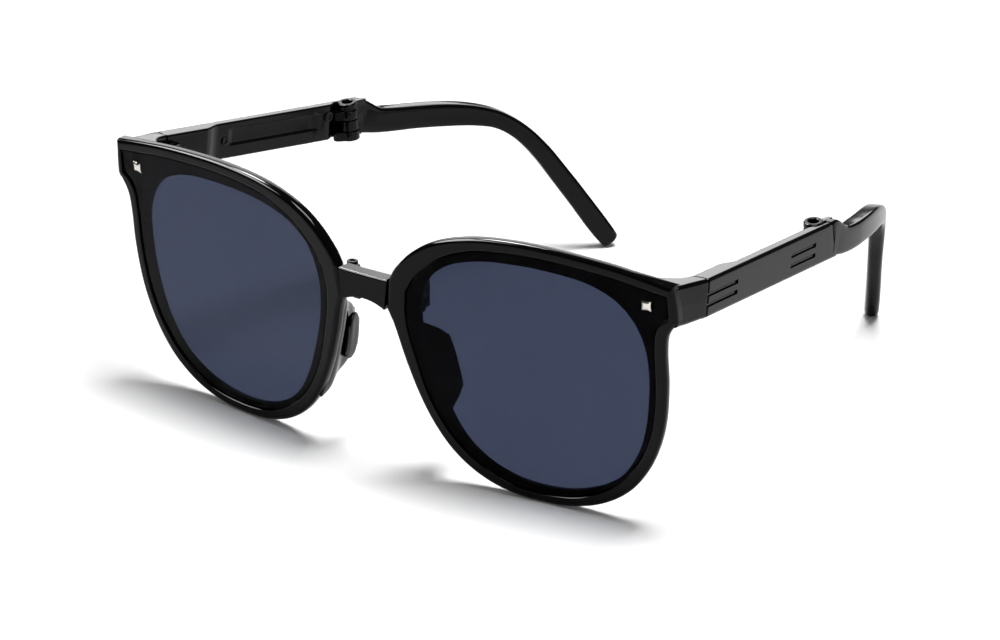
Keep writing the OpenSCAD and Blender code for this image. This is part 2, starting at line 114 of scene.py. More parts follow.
# Camera fitted to the view: focal length, place, angles in degrees
CAMERA_LENS = 186.6
CAMERA_AT = (0.6232, -0.8549, 0.4321)
CAMERA_TURN = (68.326, -0.163, 36.894)

# Outlines of one side in the plane of its rim: over the brow, the outer end, back under the cheek, the nose
RIM = (
    [(6.2, 44.7), (8.0, 47.8), (12.2, 52.2), (18, 55.7), (26, 58.1), (35, 59.1), (45, 59.2), (57, 58.5),
     (66, 57.4), (73, 56.3)],
    [(73, 56.3), (73.6, 52), (73.8, 48.4)],
    [(73.8, 48.4), (72.2, 46.4), (71.1, 44), (70.7, 40), (70.7, 33), (69.9, 25), (68.2, 18.5),
     (65.3, 12.4), (61, 7), (55, 2.9), (48, 0.6), (40, 0), (32, 0.7), (25.2, 3.2), (19.5, 7.4),
     (15, 13.2), (11.6, 20), (8.9, 27.5), (7, 34), (5.4, 38)],
    [(5.4, 38), (6.2, 44.7)],
)
LENS = (
    [(10.3, 43), (13.3, 47.6), (18.6, 52.2), (26, 55.4), (35, 56.7), (45, 56.9), (57, 56.2), (65, 55.2),
     (71.8, 54.2)],
    [(71.8, 54.2), (72, 49)],
    [(72, 49), (70, 47.4), (68.8, 45), (68.4, 40), (68.4, 33), (67.6, 25), (65.9, 19), (63.2, 13.7),
     (59.4, 9.1), (54, 5.2), (47.6, 2.8), (40, 2.1), (33, 2.8), (27, 5.2), (21.4, 9.3), (17.2, 14.4),
     (13.9, 20.8), (11.7, 28), (10.2, 34), (9.8, 38.5)],
    [(9.8, 38.5), (10.3, 43)],
)
WINDOW = (
    [(14.3, 44.2), (16.6, 47.7), (21.2, 50.9), (28, 52.9), (36, 53.7), (45, 53.7), (52.6, 52.9),
     (58.2, 50.9), (61.6, 48.4)],
    [(61.6, 48.4), (63.4, 46.2)],
    [(63.4, 46.2), (65, 43), (66, 39), (66.3, 34), (65.9, 27.5), (64.9, 21.5), (63, 16), (59.6, 10.6),
     (55.4, 7.2), (50, 4.8), (44, 3.6), (38, 3.5), (32.6, 4.4), (27.2, 6.7), (22.6, 10.5), (19, 16.2),
     (16, 23.5), (14, 30), (13.1, 36), (13.2, 40.2)],
    [(13.2, 40.2), (14.3, 44.2)],
)
STATIONS = (96, 24, 240, 16)

# Corner: depth, inner side, outer side above and below, swell, underside and top from the seam, round
CORNER = (
    (3.2, 66.0, 72.9, 73.45, 0.1, -7.0, 1.5, 0.8), (3.5, 65.7, 73.08, 73.7, 0.14, -7.1, 1.66, 0.9),
    (4.2, 65.3, 73.06, 73.62, 0.14, -7.2, 1.6, 0.95), (5.2, 65.0, 73.06, 73.56, 0.12, -7.3, 1.45, 0.95),
    (6.6, 65.0, 73.1, 73.54, 0.07, -7.5, 1.2, 0.95), (8.0, 66.4, 73.15, 73.5, 0.03, -7.68, 1.0, 0.95),
    (10.4, 68.5, 73.22, 73.45, 0.0, -7.9, 0.67, 0.95), (12.6, 69.15, 73.3, 73.4, 0.0, -8.1, 0.36, 0.9),
    (14.2, 69.25, 73.34, 73.36, 0.0, -8.25, 0.13, 0.8),
)
LEAST_SWELL = 0.012

# Front half of a temple: place along it, thickness, share of the pocket's depth
TEMPLE_CUTS = (
    [(y, TEMPLE_T, 0) for y in (0.12, 0.35, 4, 8, 11.8)]
    + [(12.2, 4.06, 0), (12.7, 3.94, 0), (13.4, 3.68, 0), (14.2, 3.35, 0), (15, 3.02, 0), (15.7, 2.78, 0)]
    + [(16.3, 2.65, 0), (17.2, TEMPLE_WALL, 0), (19.6, TEMPLE_WALL, 0)]
    + [(y, TEMPLE_WALL, share) for y, share in ((20.0, 0.12), (20.5, 0.5), (21, 0.88))]
    + [(y, TEMPLE_WALL, 1) for y in (21.6, 26, 32, 38, 44, 45.4)]
    + [(y, TEMPLE_WALL, share) for y, share in ((46, 0.88), (46.5, 0.5), (47, 0.12))]
    + [(y, TEMPLE_WALL, 0) for y in (47.4, 49, 50.4)]
    + [(51, 2.5, 0), (51.6, 2.2, 0), (52.2, 1.8, 0), (52.6, 1.55, 0), (53.2, SKIN, 0), (55, SKIN, 0)]
)

# Rear arm: depth back from the eyes, middle height, height of the section
ARM = (
    (70, 43.7, 8.2), (73.2, 43.4, 8.1), (75.6, 42.5, 7.2), (78.8, 41.2, 6), (83, 40.4, 5.7), (90, 39.5, 5.5),
    (98, 38.3, 5.4), (105, 36.8, 4.8), (110.5, 34.7, 4.1), (115.6, 30.8, 3.7), (120, 25.4, 3.5),
    (123.8, 19.4, 3.4), (127.8, 12.8, 3.4), (131.6, 6.2, 3.5), (134.3, 1.7, 3.2),
)

# Course of the rear arm: depth at the mid pin, depth and side where its curve starts, slope there, bend
ARM_PIN = 69.2
ARM_FROM = 72
ARM_SIDE = 1.51
ARM_SLOPE = 0.135
ARM_BEND = 0.00477

SIDES = (("left", 1), ("right", -1))


# Sizes and colours shown in the panel

def length(name, description, default):
    """Length in metres."""
    return bpy.props.FloatProperty(name=name, description=description, default=default, unit="LENGTH")


def colour(name, description, default):
    """Colour of a finish."""
    return bpy.props.FloatVectorProperty(
        name=name, description=description, subtype="COLOR", size=3, default=default)


class RimSizes(bpy.types.PropertyGroup):
    depth: length("Rim depth", "Depth of a rim, front to back", 0.0028)
    edge: length("Edge round", "Round between the front of a rim and its side", 0.00095)
    back: length("Back round", "Round on the back edge of a rim", 0.0016)
    panel: length("Panel thickness", "Thickness of a lens panel", 0.00113)
    sink: length("Panel sink", "How far a panel lies below the front of its rim", 0.00042)
    groove: length("Groove", "Open groove round a lens panel", 0.00025)


class TempleSizes(bpy.types.PropertyGroup):
    edge: length("Edge round", "Round on the long edges of a temple", 0.00085)
    line: length("Engraved line", "Half width of an engraved line", 0.00048)
    pocket: length("Pocket", "Depth of the pocket on the inner side", 0.0006)
    arm: length("Arm thickness", "Thickness of the rear arm, side to side", 0.0039)


class HingeSizes(bpy.types.PropertyGroup):
    barrel: length("Barrel", "Outer radius of a hinge barrel", 0.0019)
    bridge_barrel: length("Bridge barrel", "Outer radius of a bridge hinge", 0.0012)
    mid_barrel: length("Mid barrel", "Outer radius of the mid hinge", 0.0022)
    pin: length("Pin", "Radius of every hinge pin", 0.0006)
    edge: length("Broken edge", "Round on the edges of a ring", 0.00014)


class Finishes(bpy.types.PropertyGroup):
    frame_colour: colour("Frame", "Colour of the polished rims", (0.0013, 0.0013, 0.0016))
    temple_colour: colour("Temples", "Colour of the temples", (0.002, 0.0019, 0.0023))
    tint: colour("Tint", "Colour of the light that a lens panel lets through", (0.0325, 0.0395, 0.0685))
    metal: colour("Rivets", "Colour of the bright rivets", (0.8, 0.77, 0.71))


GROUPS = {"rims": RimSizes, "temples": TempleSizes, "hinges": HingeSizes, "finishes": Finishes}


def sizes_of(group):
    """Lengths of one group of the panel, in millimetres."""
    held = getattr(bpy.context.scene, "sunglasses_" + group)
    return SimpleNamespace(**{key: getattr(held, key) / MM for key in GROUPS[group].__annotations__})


# Curves and outlines

def passing(a, b, c, d, t):
    """Numbers at share t between b and c, on the smooth curve that passes through all four."""
    return [
        0.5 * (2 * q + (r - p) * t + (2 * p - 5 * q + 4 * r - s) * t * t + (3 * q - p - 3 * r + s) * t ** 3)
        for p, q, r, s in zip(a, b, c, d)]


def smooth(rows, count):
    """Rows at even steps along the smooth curve through the given rows, both ends included."""
    last = len(rows) - 1
    out = []
    for i in range(count + 1):
        along = min(i * last / count, last - 1e-6)
        k = int(along)
        b = rows[k]
        c = rows[k + 1]
        a = rows[k - 1] if k else [2 * q - r for q, r in zip(b, c)]
        d = rows[k + 2] if k + 2 <= last else [2 * r - q for q, r in zip(b, c)]
        out.append(passing(a, b, c, d, along - k))
    return out


def closed_line(parts):
    """Closed outline from its four runs of points."""
    return [Vector(p) for part, count in zip(parts, STATIONS) for p in smooth(part, count)[:-1]]


def quarter(steps):
    """Cosine and sine at even steps over a quarter turn."""
    return [(cos(pi / 2 * k / steps), sin(pi / 2 * k / steps)) for k in range(steps + 1)]


def inset(line, amount, reach=8):
    """Outline moved inwards; amount is one number or one for each point."""
    n = len(line)
    moved = []
    for i, p in enumerate(line):
        t = line[(i + reach) % n] - line[(i - reach) % n]
        t.normalize()
        a = amount[i] if isinstance(amount, list) else amount
        moved.append(p + a * Vector((t.y, -t.x)))
    return moved


def front_point(u, d, v):
    """Point of the plane of the left rim: u across, d into the depth, v up."""
    y = d * cos(LEAN) - v * sin(LEAN)
    return Vector((
        u * cos(WRAP) - y * sin(WRAP),
        u * sin(WRAP) + y * cos(WRAP) + Y_FRONT - Y_MID,
        d * sin(LEAN) + v * cos(LEAN)))


def front_vector(u, d, v):
    """Direction in the plane of the left rim."""
    return front_point(u, d, v) - front_point(0, 0, 0)


def upright(axis, z, turn=0):
    """Place at a height on an upright hinge axis, turned about it by degrees."""
    return Matrix.Translation((*axis, z)) @ Matrix.Rotation(radians(turn), 4, "Z")


TEMPLE_TURN = Matrix.Translation(SEAM_TOP) @ Euler((-SLOPE, 0, TOE_IN)).to_matrix().to_4x4()
MID_AT = TEMPLE_TURN @ Vector((MID_X, MID_Y, -TEMPLE_H / 2))
MID_TURN = Matrix.Translation(MID_AT) @ Euler((MID_LEAN, 0, TOE_IN)).to_matrix().to_4x4()


def rounded(corners, radii, steps=5):
    """Convex outline with each corner rounded by an arc of its own radius."""
    n = len(corners)
    out = []
    for i, (c, r) in enumerate(zip(corners, radii)):
        c = Vector(c)
        a = (Vector(corners[i - 1]) - c).normalized()
        b = (Vector(corners[(i + 1) % n]) - c).normalized()
        half = a.angle(b) / 2
        reach = r / tan(half)
        centre = c + (a + b).normalized() * (r / sin(half))
        p = c + a * reach - centre
        q = c + b * reach - centre
        turn = p.angle(q)
        for k in range(steps + 1):
            t = k / steps
            out.append(centre + (p * sin((1 - t) * turn) + q * sin(t * turn)) / sin(turn))
    return out


# Meshes

def loft(rings, ringed=False):
    """Mesh through rings of points; open ends are closed by flat faces."""
    mesh = bpy.data.meshes.new("loft")
    n = len(rings[0])
    m = len(rings)
    points = [tuple(p) for ring in rings for p in ring]
    faces = []
    for j in range(m if ringed else m - 1):
        k = (j + 1) % m
        for i in range(n):
            h = (i + 1) % n
            faces.append((j * n + i, k * n + i, k * n + h, j * n + h))
    if not ringed:
        faces.append(tuple(range(n)))
        faces.append(tuple((m - 1) * n + i for i in range(n)))
    mesh.from_pydata(points, [], faces)
    return mesh


def block(outline, low, high, edge=0.15, turn=None):
    """Upright block over an outline, with its edges rounded."""
    bm = bmesh.new()
    face = bm.faces.new([bm.verts.new((p[0], p[1], low)) for p in outline])
    made = bmesh.ops.extrude_face_region(bm, geom=[face])
    for v in made["geom"]:
        if isinstance(v, bmesh.types.BMVert):
            v.co.z = high
    bmesh.ops.recalc_face_normals(bm, faces=bm.faces)
    bmesh.ops.bevel(bm, geom=list(bm.edges), offset=edge, segments=3, affect="EDGES", clamp_overlap=True)
    if turn:
        bm.transform(turn)
    mesh = bpy.data.meshes.new("block")
    bm.to_mesh(mesh)
    bm.free()
    return mesh


def faced_out(mesh, turn=None):
    """The same mesh with every face turned outwards."""
    bm = bmesh.new()
    bm.from_mesh(mesh)
    bmesh.ops.recalc_face_normals(bm, faces=bm.faces)
    if turn:
        bm.transform(turn)
    bm.to_mesh(mesh)
    bm.free()
    return mesh


def finish_piece(name, meshes, material, body, side=1, angle=32):
    """Join meshes made on the left side, mirror them for the right, and put the piece on its body."""
    bm = bmesh.new()
    for mesh in meshes:
        part = bmesh.new()
        part.from_mesh(mesh)
        bmesh.ops.remove_doubles(part, verts=part.verts, dist=0.0004)
        part.transform(Matrix.Diagonal((side * MM, MM, MM, 1)))
        bmesh.ops.recalc_face_normals(part, faces=part.faces)
        if part.calc_volume(signed=True) < 0:
            bmesh.ops.reverse_faces(part, faces=part.faces)
        part.to_mesh(mesh)
        part.free()
        bm.from_mesh(mesh)
        bpy.data.meshes.remove(mesh)
    done = bpy.data.meshes.new(name)
    bm.to_mesh(done)
    bm.free()
    done.materials.clear()
    done.materials.append(material)
    done.polygons.foreach_set("use_smooth", [True] * len(done.polygons))
    done.polygons.foreach_set("material_index", [0] * len(done.polygons))
    done.set_sharp_from_angle(angle=radians(angle))
    piece = bpy.data.objects.new(name, done)
    bpy.context.scene.collection.objects.link(piece)
    flat = piece.modifiers.new("Flat faces", "WEIGHTED_NORMAL")
    flat.keep_sharp = True
    depsgraph = bpy.context.evaluated_depsgraph_get()
    piece.data = bpy.data.meshes.new_from_object(
        piece.evaluated_get(depsgraph), preserve_all_data_layers=True, depsgraph=depsgraph)
    piece.data.name = name
    piece.modifiers.clear()
    bpy.data.meshes.remove(done)
    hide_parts(name.replace("_look", ""))
    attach(piece, body)
    return piece


# Node trees

class Nodes:
    """Node tree to which each node is added with its links, values and settings."""

    def __init__(self, tree):
        self.tree = tree

    def add(self, kind, wires=None, **settings):
        """New node; a wire that is no socket is a constant on the node's own socket."""
        node = self.tree.nodes.new(kind)
        for key, value in settings.items():
            setattr(node, key, value)
        for key, value in (wires or {}).items():
            if isinstance(value, bpy.types.NodeSocket):
                self.tree.links.new(value, node.inputs[key])
            else:
                node.inputs[key].default_value = value
        return node

    def math(self, kind, a, *others):
        """Result of one sum."""
        return self.add("ShaderNodeMath", dict(enumerate((a, *others))), operation=kind).outputs[0]

    def vector(self, kind, wires, out=0):
        """Result of one sum of vectors."""
        return self.add("ShaderNodeVectorMath", wires, operation=kind).outputs[out]

    def xyz(self, **parts):
        """Vector from its parts."""
        return self.add("ShaderNodeCombineXYZ", parts).outputs["Vector"]

    def blend(self, share, low, high, start=0.0, end=1.0):
        """Number that goes from low to high while the share goes from start to end."""
        wires = {"Value": share, "From Min": start, "From Max": end, "To Min": low, "To Max": high}
        return self.add("ShaderNodeMapRange", wires).outputs["Result"]


class Shape(Nodes):
    """Geometry node tree with named inputs and one geometry output."""

    def __init__(self, name, numbers, others=()):
        super().__init__(bpy.data.node_groups.new(name, "GeometryNodeTree"))
        self.tree.is_modifier = True
        face = self.tree.interface
        face.new_socket(name="Geometry", in_out="INPUT", socket_type="NodeSocketGeometry")
        for label, kind in others:
            face.new_socket(name=label, in_out="INPUT", socket_type="NodeSocket" + kind)
        for label, value in numbers.items():
            kind = {int: "Int", float: "Float", tuple: "Vector"}[type(value)]
            face.new_socket(name=label, in_out="INPUT", socket_type="NodeSocket" + kind).default_value = value
        face.new_socket(name="Material", in_out="INPUT", socket_type="NodeSocketMaterial")
        face.new_socket(name="Geometry", in_out="OUTPUT", socket_type="NodeSocketGeometry")
        self.given = self.tree.nodes.new("NodeGroupInput").outputs

    def geo(self, kind, wires=None, **settings):
        """First output of a new geometry node."""
        return self.add("GeometryNode" + kind, wires, **settings).outputs[0]

    def bar(self, start, end, length, radius, dome, least, steps, around):
        """Round bar between two points, with ends that narrow like a dome."""
        line = self.geo("CurvePrimitiveLine", {"Start": start, "End": end})
        fine = self.geo("ResampleCurve", {"Curve": line, "Count": steps})
        share = self.geo("SplineParameter")
        near = self.math("MINIMUM", share, self.math("SUBTRACT", 1.0, share))
        inside = self.math("MINIMUM", self.math("DIVIDE", self.math("MULTIPLY", near, length), dome), 1.0)
        rest = self.math("SUBTRACT", 1.0, inside)
        square = self.math("SUBTRACT", 1.0, self.math("MULTIPLY", rest, rest))
        thick = self.geo("SetCurveRadius", {
            "Curve": fine, "Radius": self.math("SQRT", self.math("MAXIMUM", square, least))})
        section = self.geo("CurvePrimitiveCircle", {"Resolution": around, "Radius": radius})
        return self.geo("CurveToMesh", {"Curve": thick, "Profile Curve": section, "Fill Caps": True})

    def out(self, geometry):
        """Tree that ends in this geometry, with its material on it."""
        real = self.geo("RealizeInstances", {"Geometry": geometry})
        faced = self.geo("SetMaterial", {"Geometry": real, "Material": self.given["Material"]})
        self.add("NodeGroupOutput", {"Geometry": faced})
        return self.tree


def grow(tree, values, guide=None, turn=None):
    """Mesh that a tree makes from its named inputs."""
    guide = guide or bpy.data.meshes.new("guide")
    holder = bpy.data.objects.new("guide", guide)
    bpy.context.scene.collection.objects.link(holder)
    modifier = holder.modifiers.new("Build", "NODES")
    modifier.node_group = tree
    for item in tree.interface.items_tree:
        if item.item_type == "SOCKET" and item.in_out == "INPUT" and item.name in values:
            modifier[item.identifier] = values[item.name]
    holder.update_tag()
    depsgraph = bpy.context.evaluated_depsgraph_get()
    depsgraph.update()
    mesh = bpy.data.meshes.new_from_object(holder.evaluated_get(depsgraph), depsgraph=depsgraph)
    bpy.data.objects.remove(holder)
    bpy.data.meshes.remove(guide)
    if not mesh.polygons:
        raise RuntimeError("the tree " + tree.name + " made no faces")
    if turn:
        mesh.transform(turn)
    return mesh


def sweep_tree():
    """Rounded section carried along stations that hold its place, its two directions and its size."""
    t = Shape("Section along stations", {"Stations": 10, "Section points": 32})
    around = t.math("ADD", t.given["Section points"], 1.0)
    grid = t.geo("MeshGrid", {"Vertices X": t.given["Stations"], "Vertices Y": around})
    index = t.geo("InputIndex")
    station = t.math("FLOOR", t.math("DIVIDE", index, around))
    along = t.math("SUBTRACT", index, t.math("MULTIPLY", station, around))
    angle = t.math("MULTIPLY", t.math("DIVIDE", along, t.given["Section points"]), 2 * pi)

    def held(name, kind="FLOAT"):
        field = t.geo("InputNamedAttribute", {"Name": name}, data_type=kind)
        return t.geo("SampleIndex", {"Geometry": t.given["Geometry"], "Value": field, "Index": station},
                     data_type=kind, domain="POINT")

    def arm(kind, power, size, direction):
        turn = t.math(kind, angle)
        shaped = t.math("POWER", t.math("ABSOLUTE", turn), power)
        reach = t.math("MULTIPLY", t.math("MULTIPLY", t.math("SIGN", turn), shaped), held(size))
        return t.vector("SCALE", {0: held(direction, "FLOAT_VECTOR"), "Scale": reach})

    power = held("power")
    side = arm("SINE", power, "half_width", "side")
    rise = arm("COSINE", power, "half_height", "up")
    place = t.vector("ADD", {0: t.vector("ADD", {0: side, 1: rise}), 1: held("centre", "FLOAT_VECTOR")})
    moved = t.geo("SetPosition", {"Geometry": grid, "Position": place})
    return t.out(t.geo("MergeByDistance", {"Geometry": moved, "Distance": 0.0005}))


def ring_tree():
    """Stack of hinge rings with rounded edges."""
    t = Shape("Hinge rings", {"Count": 1, "Start": (0, 0, 0), "Pitch": 1.0, "Height": 1.0, "Radius": 1.9,
                              "Hole": RING_HOLE, "Edge": 0.14})
    radius = t.given["Radius"]
    hole = t.given["Hole"]
    middle = t.math("MULTIPLY", t.math("ADD", radius, hole), 0.5)
    path = t.geo("CurvePrimitiveCircle", {"Resolution": 56, "Radius": middle})
    section = t.geo("CurvePrimitiveQuadrilateral", {
        "Width": t.math("SUBTRACT", radius, hole), "Height": t.given["Height"]})
    soft = t.geo("FilletCurve", {"Curve": section, "Radius": t.given["Edge"], "Count": 3}, mode="POLY")
    ring = t.geo("CurveToMesh", {"Curve": path, "Profile Curve": soft})
    line = t.geo("MeshLine", {
        "Count": t.given["Count"], "Start Location": t.given["Start"],
        "Offset": t.xyz(Z=t.given["Pitch"])}, mode="OFFSET")
    return t.out(t.geo("InstanceOnPoints", {"Points": line, "Instance": ring}))


def pin_tree():
    """Round pin with domed ends between two points."""
    t = Shape("Domed pin", {"Start": (0, 0, 0), "End": (0, 0, 1), "Radius": 0.6, "Dome": 0.3})
    start = t.given["Start"]
    end = t.given["End"]
    length = t.vector("DISTANCE", {0: start, 1: end}, "Value")
    return t.out(t.bar(start, end, length, t.given["Radius"], t.given["Dome"], 0.0004, 140, 32))


def engraving_tree():
    """Pairs of round-bottomed lines cut into a flat side; each line runs along Y."""
    t = Shape("Engraved lines", {
        "Lines": 2, "Drop": 2.2, "Top": -3.3, "Front start": -1.0, "Front end": 13.4, "Rear start": 38.2,
        "Rear end": 50.1, "Half width": 0.3, "Lift": 0.1})
    given = t.given
    places = t.geo("MeshLine", {
        "Count": given["Lines"], "Start Location": t.xyz(Z=given["Top"]),
        "Offset": t.xyz(Z=t.math("MULTIPLY", given["Drop"], -1.0))}, mode="OFFSET")
    both = t.add("GeometryNodeJoinGeometry")
    for run in ("Front", "Rear"):
        start = given[run + " start"]
        end = given[run + " end"]
        half = given["Half width"]
        cutter = t.bar(t.xyz(X=given["Lift"], Y=start), t.xyz(X=given["Lift"], Y=end),
                       t.math("SUBTRACT", end, start), half, half, 0.01, 90, 20)
        cuts = t.geo("InstanceOnPoints", {"Points": places, "Instance": cutter})
        t.tree.links.new(cuts, both.inputs["Geometry"])
    real = t.geo("RealizeInstances", {"Geometry": both.outputs["Geometry"]})
    return t.out(t.geo("MeshBoolean", {"Mesh 1": given["Geometry"], "Mesh 2": real},
                       operation="DIFFERENCE", solver="EXACT"))


def rivet_tree():
    """A rivet set on every point of its guide."""
    t = Shape("Rivets on points", {}, [("Rivet", "Object")])
    shape = t.add("GeometryNodeObjectInfo", {"Object": t.given["Rivet"]}, transform_space="ORIGINAL")
    return t.out(t.geo("InstanceOnPoints", {
        "Points": t.given["Geometry"], "Instance": shape.outputs["Geometry"]}))


MAKERS = {
    "sweep": sweep_tree, "rings": ring_tree, "pin": pin_tree, "engraving": engraving_tree,
    "rivet": rivet_tree}
TREES = {}


def tree_named(key):
    """Tree of that name, built once."""
    if key not in TREES:
        TREES[key] = MAKERS[key]()
    return TREES[key]


def swept(stations, material, points=32):
    """Mesh from stations of centre, side, up, half width, half height and power."""
    guide = bpy.data.meshes.new("stations")
    guide.from_pydata([tuple(s[0]) for s in stations], [], [])
    for k, name in enumerate(("centre", "side", "up")):
        field = guide.attributes.new(name, "FLOAT_VECTOR", "POINT")
        field.data.foreach_set("vector", [c for s in stations for c in s[k]])
    for k, name in enumerate(("half_width", "half_height", "power"), 3):
        field = guide.attributes.new(name, "FLOAT", "POINT")
        field.data.foreach_set("value", [s[k] for s in stations])
    values = {"Stations": len(stations), "Section points": points, "Material": material}
    return grow(tree_named("sweep"), values, guide)


def rings(start, height, radius, material, hole=RING_HOLE, edge=0.14, turn=None, count=1, pitch=1.0):
    """Stack of hinge rings whose lowest ring starts at the given point."""
    first = (start[0], start[1], start[2] + height / 2)
    return grow(tree_named("rings"), {
        "Count": count, "Start": first, "Pitch": pitch, "Height": height, "Radius": radius, "Hole": hole,
        "Edge": edge, "Material": material}, turn=turn)


# Materials

class Look(Nodes):
    """Empty material tree."""

    def __init__(self, name):
        self.material = bpy.data.materials.new(name)
        self.material.use_nodes = True
        super().__init__(self.material.node_tree)
        self.tree.nodes.clear()

    def place(self):
        """Coordinates of the piece itself."""
        return self.add("ShaderNodeTexCoord").outputs["Object"]

    def noise(self, place, scale, detail):
        """Cloudy pattern."""
        wires = {"Vector": place, "Scale": scale, "Detail": detail}
        return self.add("ShaderNodeTexNoise", wires).outputs["Fac"]

    def shades(self, share, tone, low, high):
        """Colour that swings between two shades of one tone."""
        ends = [(*[min(c * level, 1) for c in tone], 1) for level in (low, high)]
        return self.add("ShaderNodeMix", {0: share, 6: ends[0], 7: ends[1]}, data_type="RGBA").outputs[2]

    def bump(self, height, strength, distance):
        """Normals of a slight relief."""
        return self.add("ShaderNodeBump", {"Height": height, "Strength": strength, "Distance": distance})

    def end(self, kind, values):
        """The finished material, ending in one shader with the given inputs."""
        shader = self.add(kind, values)
        self.add("ShaderNodeOutputMaterial", {"Surface": shader.outputs["BSDF"]})
        return self.material


def plastic(name, tone, rough, level, wave_scale=260.0, grain=0.0):
    """Moulded plastic: slight shade and gloss changes, flow waves and a fine grain."""
    t = Look(name)
    place = t.place()
    broad = t.noise(place, 70.0, 3.0)
    skin = t.bump(t.noise(place, wave_scale, 1.0), 0.12, 0.00004)
    dust = t.bump(t.noise(place, 9000.0, 2.0), grain, 0.00001)
    t.tree.links.new(skin.outputs["Normal"], dust.inputs["Normal"])
    return t.end("ShaderNodeBsdfPrincipled", {
        "Base Color": t.shades(broad, tone, 0.8, 1.25),
        "Roughness": t.blend(broad, rough * 0.75, rough * 1.3, 0.3, 0.7),
        "Specular IOR Level": level,
        "Normal": dust.outputs["Normal"]})


def tinted_panel(name, tint):
    """Clear tinted sheet with a faint unevenness."""
    t = Look(name)
    cloud = t.noise(t.place(), 25.0, 2.0)
    return t.end("ShaderNodeBsdfPrincipled", {
        "Base Color": t.shades(cloud, tint, 0.94, 1.06),
        "Roughness": 0.0,
        "Transmission Weight": 1.0,
        "IOR": 1.2,
        "Specular Tint": (0.1, 0.1, 0.11, 1),
        "Normal": t.bump(cloud, 0.05, 0.00003).outputs["Normal"]})


def metal(name, tone, rough, grain):
    """Bright or brushed metal with fine lines and slight tarnish."""
    t = Look(name)
    stretch = t.add("ShaderNodeMapping", {"Vector": t.place(), "Scale": grain})
    lines = t.noise(stretch.outputs["Vector"], 1.0, 3.0)
    return t.end("ShaderNodeBsdfPrincipled", {
        "Base Color": t.shades(lines, tone, 0.88, 1.08),
        "Roughness": t.blend(lines, rough * 0.7, rough * 1.4),
        "Metallic": 1.0,
        "Normal": t.bump(lines, 0.1, 0.00001).outputs["Normal"]})


FINISHES = {}


def finish_named(key):
    """Material of that name, built once from the colours in the panel."""
    if key not in FINISHES:
        c = bpy.context.scene.sunglasses_finishes
        make, *values = {
            "frame": (plastic, "Polished frame plastic", c.frame_colour, 0.08, 0.13),
            "temple": (plastic, "Temple plastic", c.temple_colour, 0.12, 0.155, 320.0, 0.05),
            "pad": (plastic, "Soft pad plastic", [v * 2 for v in c.temple_colour], 0.3, 0.12, 400.0, 0.1),
            "lens": (tinted_panel, "Tinted lens panel", c.tint),
            "rivet": (metal, "Polished rivet metal", c.metal, 0.16, (1500, 1500, 1500)),
            "pin": (metal, "Brushed pin steel", (0.5, 0.5, 0.51), 0.28, (6000, 6000, 600)),
        }[key]
        FINISHES[key] = make(*values)
    return FINISHES[key]


# Rims

def rim_ring(sizes):
    """Ring of the rim with rounded edges, the seat of the panel and the flange round the window."""
    depth = sizes.depth
    seat = sizes.sink + sizes.panel
    rim = closed_line(RIM)
    lens = closed_line(LENS)
    window = closed_line(WINDOW)
    first = STATIONS[0]
    last = STATIONS[0] + STATIONS[1]
    near_end = [max(0.0, 1 - max(first - i, i - last, 0) / CORNER_REACH) for i in range(len(rim))]
    edges = [sizes.edge + 0.25 * near for near in near_end]
    backs = [sizes.back - (sizes.back - 0.15) * near for near in near_end]
    # each row: outline, how far it moves inwards, depth behind the front
    rows = [(lens, 0.0, seat), (lens, 0.0, SEAT_ROUND + 0.05)]
    rows += [(lens, -SEAT_ROUND * (1 - c), SEAT_ROUND * (1 - s)) for c, s in quarter(4)]
    rows += [(lens, -SEAT_ROUND - 0.1, 0.0), (rim, [e + 0.2 for e in edges], 0.0)]
    rows += [(rim, [e * (1 - s) for e in edges], [e * (1 - c) for e in edges]) for c, s in quarter(6)]
    rows += [(rim, 0.0, [e + 0.1 for e in edges]), (rim, 0.0, [depth - r - 0.05 for r in backs])]
    rows += [(rim, [BACK_OVAL * r * (1 - c) for r in backs], [depth - r * (1 - s) for r in backs])
             for c, s in quarter(6)]
    rows += [(rim, [BACK_OVAL * r + 0.2 for r in backs], depth)]
    rows += [(window, -FLANGE_ROUND - 0.25, depth)]
    rows += [(window, -FLANGE_ROUND * (1 - s), depth - FLANGE_ROUND * (1 - c)) for c, s in quarter(5)]
    rows += [(window, 0.0, seat + 0.02), (window, -0.02, seat)]
    loops = []
    for line, amount, d in rows:
        depths = d if isinstance(d, list) else [d] * len(line)
        loops.append([front_point(p.x, deep, p.y) for p, deep in zip(inset(line, amount), depths)])
    return loft(loops, ringed=True)


def end_piece():
    """Moulded corner from the front to the seam of the temple."""
    top = SEAM_TOP.z
    sections = []
    for y, x_in, x_up, x_low, swell, under, over, r in CORNER:
        low = top + under
        high = top + over
        side = (x_up + x_low) / 2 + max(swell, LEAST_SWELL)
        outline = [(x_in, low), (x_low, low), (side, (low + high) / 2), (x_up, high), (x_in, high)]
        sections.append([Vector((p.x, y - Y_MID, p.y)) for p in rounded(outline, [0.6, r, 2.0, r, 0.6])])
    last = len(sections) - 1
    fine = []
    for j in range(last):
        four = [sections[min(max(k, 0), last)] for k in range(j - 1, j + 3)]
        fine += [[passing(*points, step / 4) for points in zip(*four)] for step in range(4)]
    along = TEMPLE_TURN.to_3x3() @ Vector((0, 1, 0))
    middle = Vector((71.3, 0, top - 4.1))
    # the end follows the plane of the seam, and the last loops round its edge
    for gap, shrink in ((0.62, 0.0), (0.42, 0.0), (0.34, 0.02), (0.3, 0.06)):
        loop = []
        for p in sections[-1]:
            x = p.x + (middle.x - p.x) * shrink
            z = p.z + (middle.z - p.z) * shrink
            y = SEAM_TOP.y - ((x - SEAM_TOP.x) * along.x + (z - SEAM_TOP.z) * along.z) / along.y - gap
            loop.append((x, y, z))
        fine.append(loop)
    return loft(fine)


